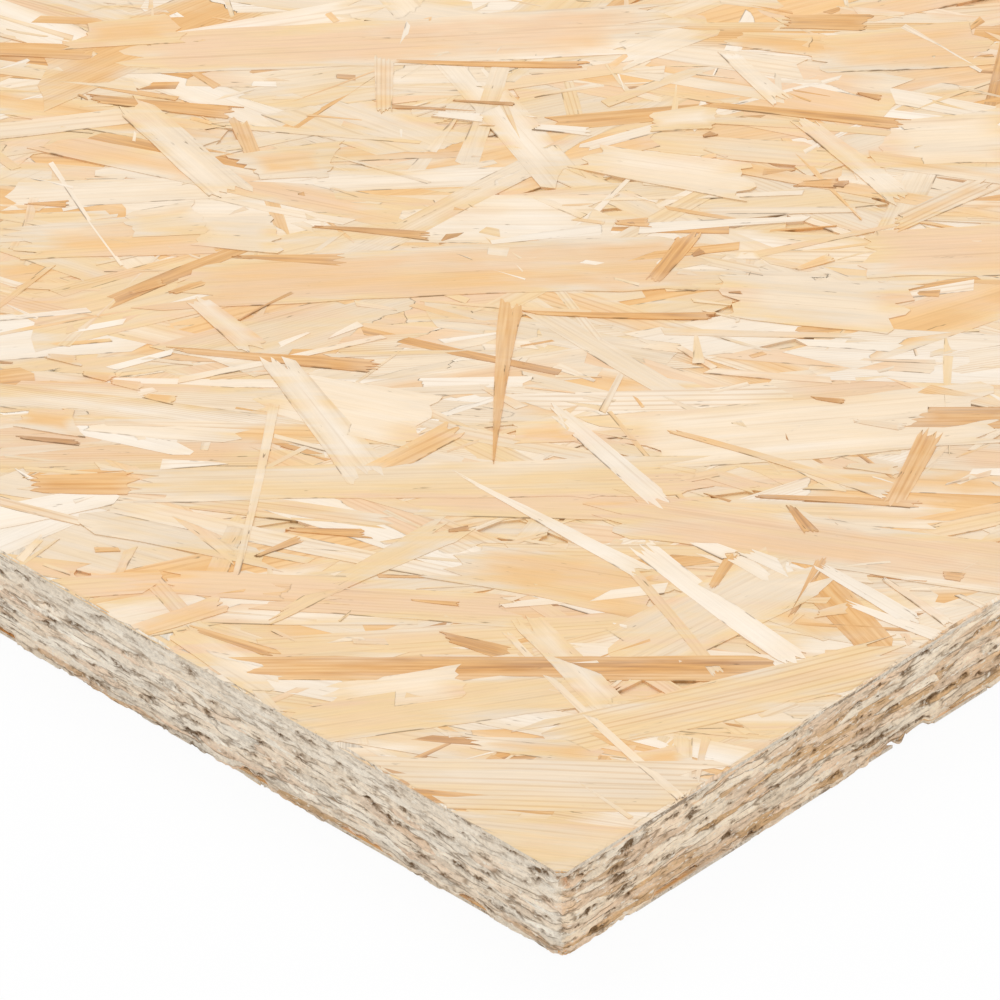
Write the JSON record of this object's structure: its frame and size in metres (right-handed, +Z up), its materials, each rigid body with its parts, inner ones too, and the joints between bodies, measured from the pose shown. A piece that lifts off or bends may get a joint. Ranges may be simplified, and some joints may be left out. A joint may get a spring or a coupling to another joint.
{
  "type": "oriented strand board panel",
  "caption": "Flat rectangular board of pressed wood strands with square sawn edges, used as sheathing, flooring or shelving.",
  "frame": {"origin": "middle of the underside, on the surface that the panel lies on", "axes": "+X along the length, +Y across the width, +Z up through the thickness"},
  "size_m": [1.22, 0.61, 0.018],
  "materials": {
    "strand_board": "unsanded pressed pale softwood strands"
  },
  "bodies": {
    "root": {"panel": "strand_board"}
  },
  "joints": []
}
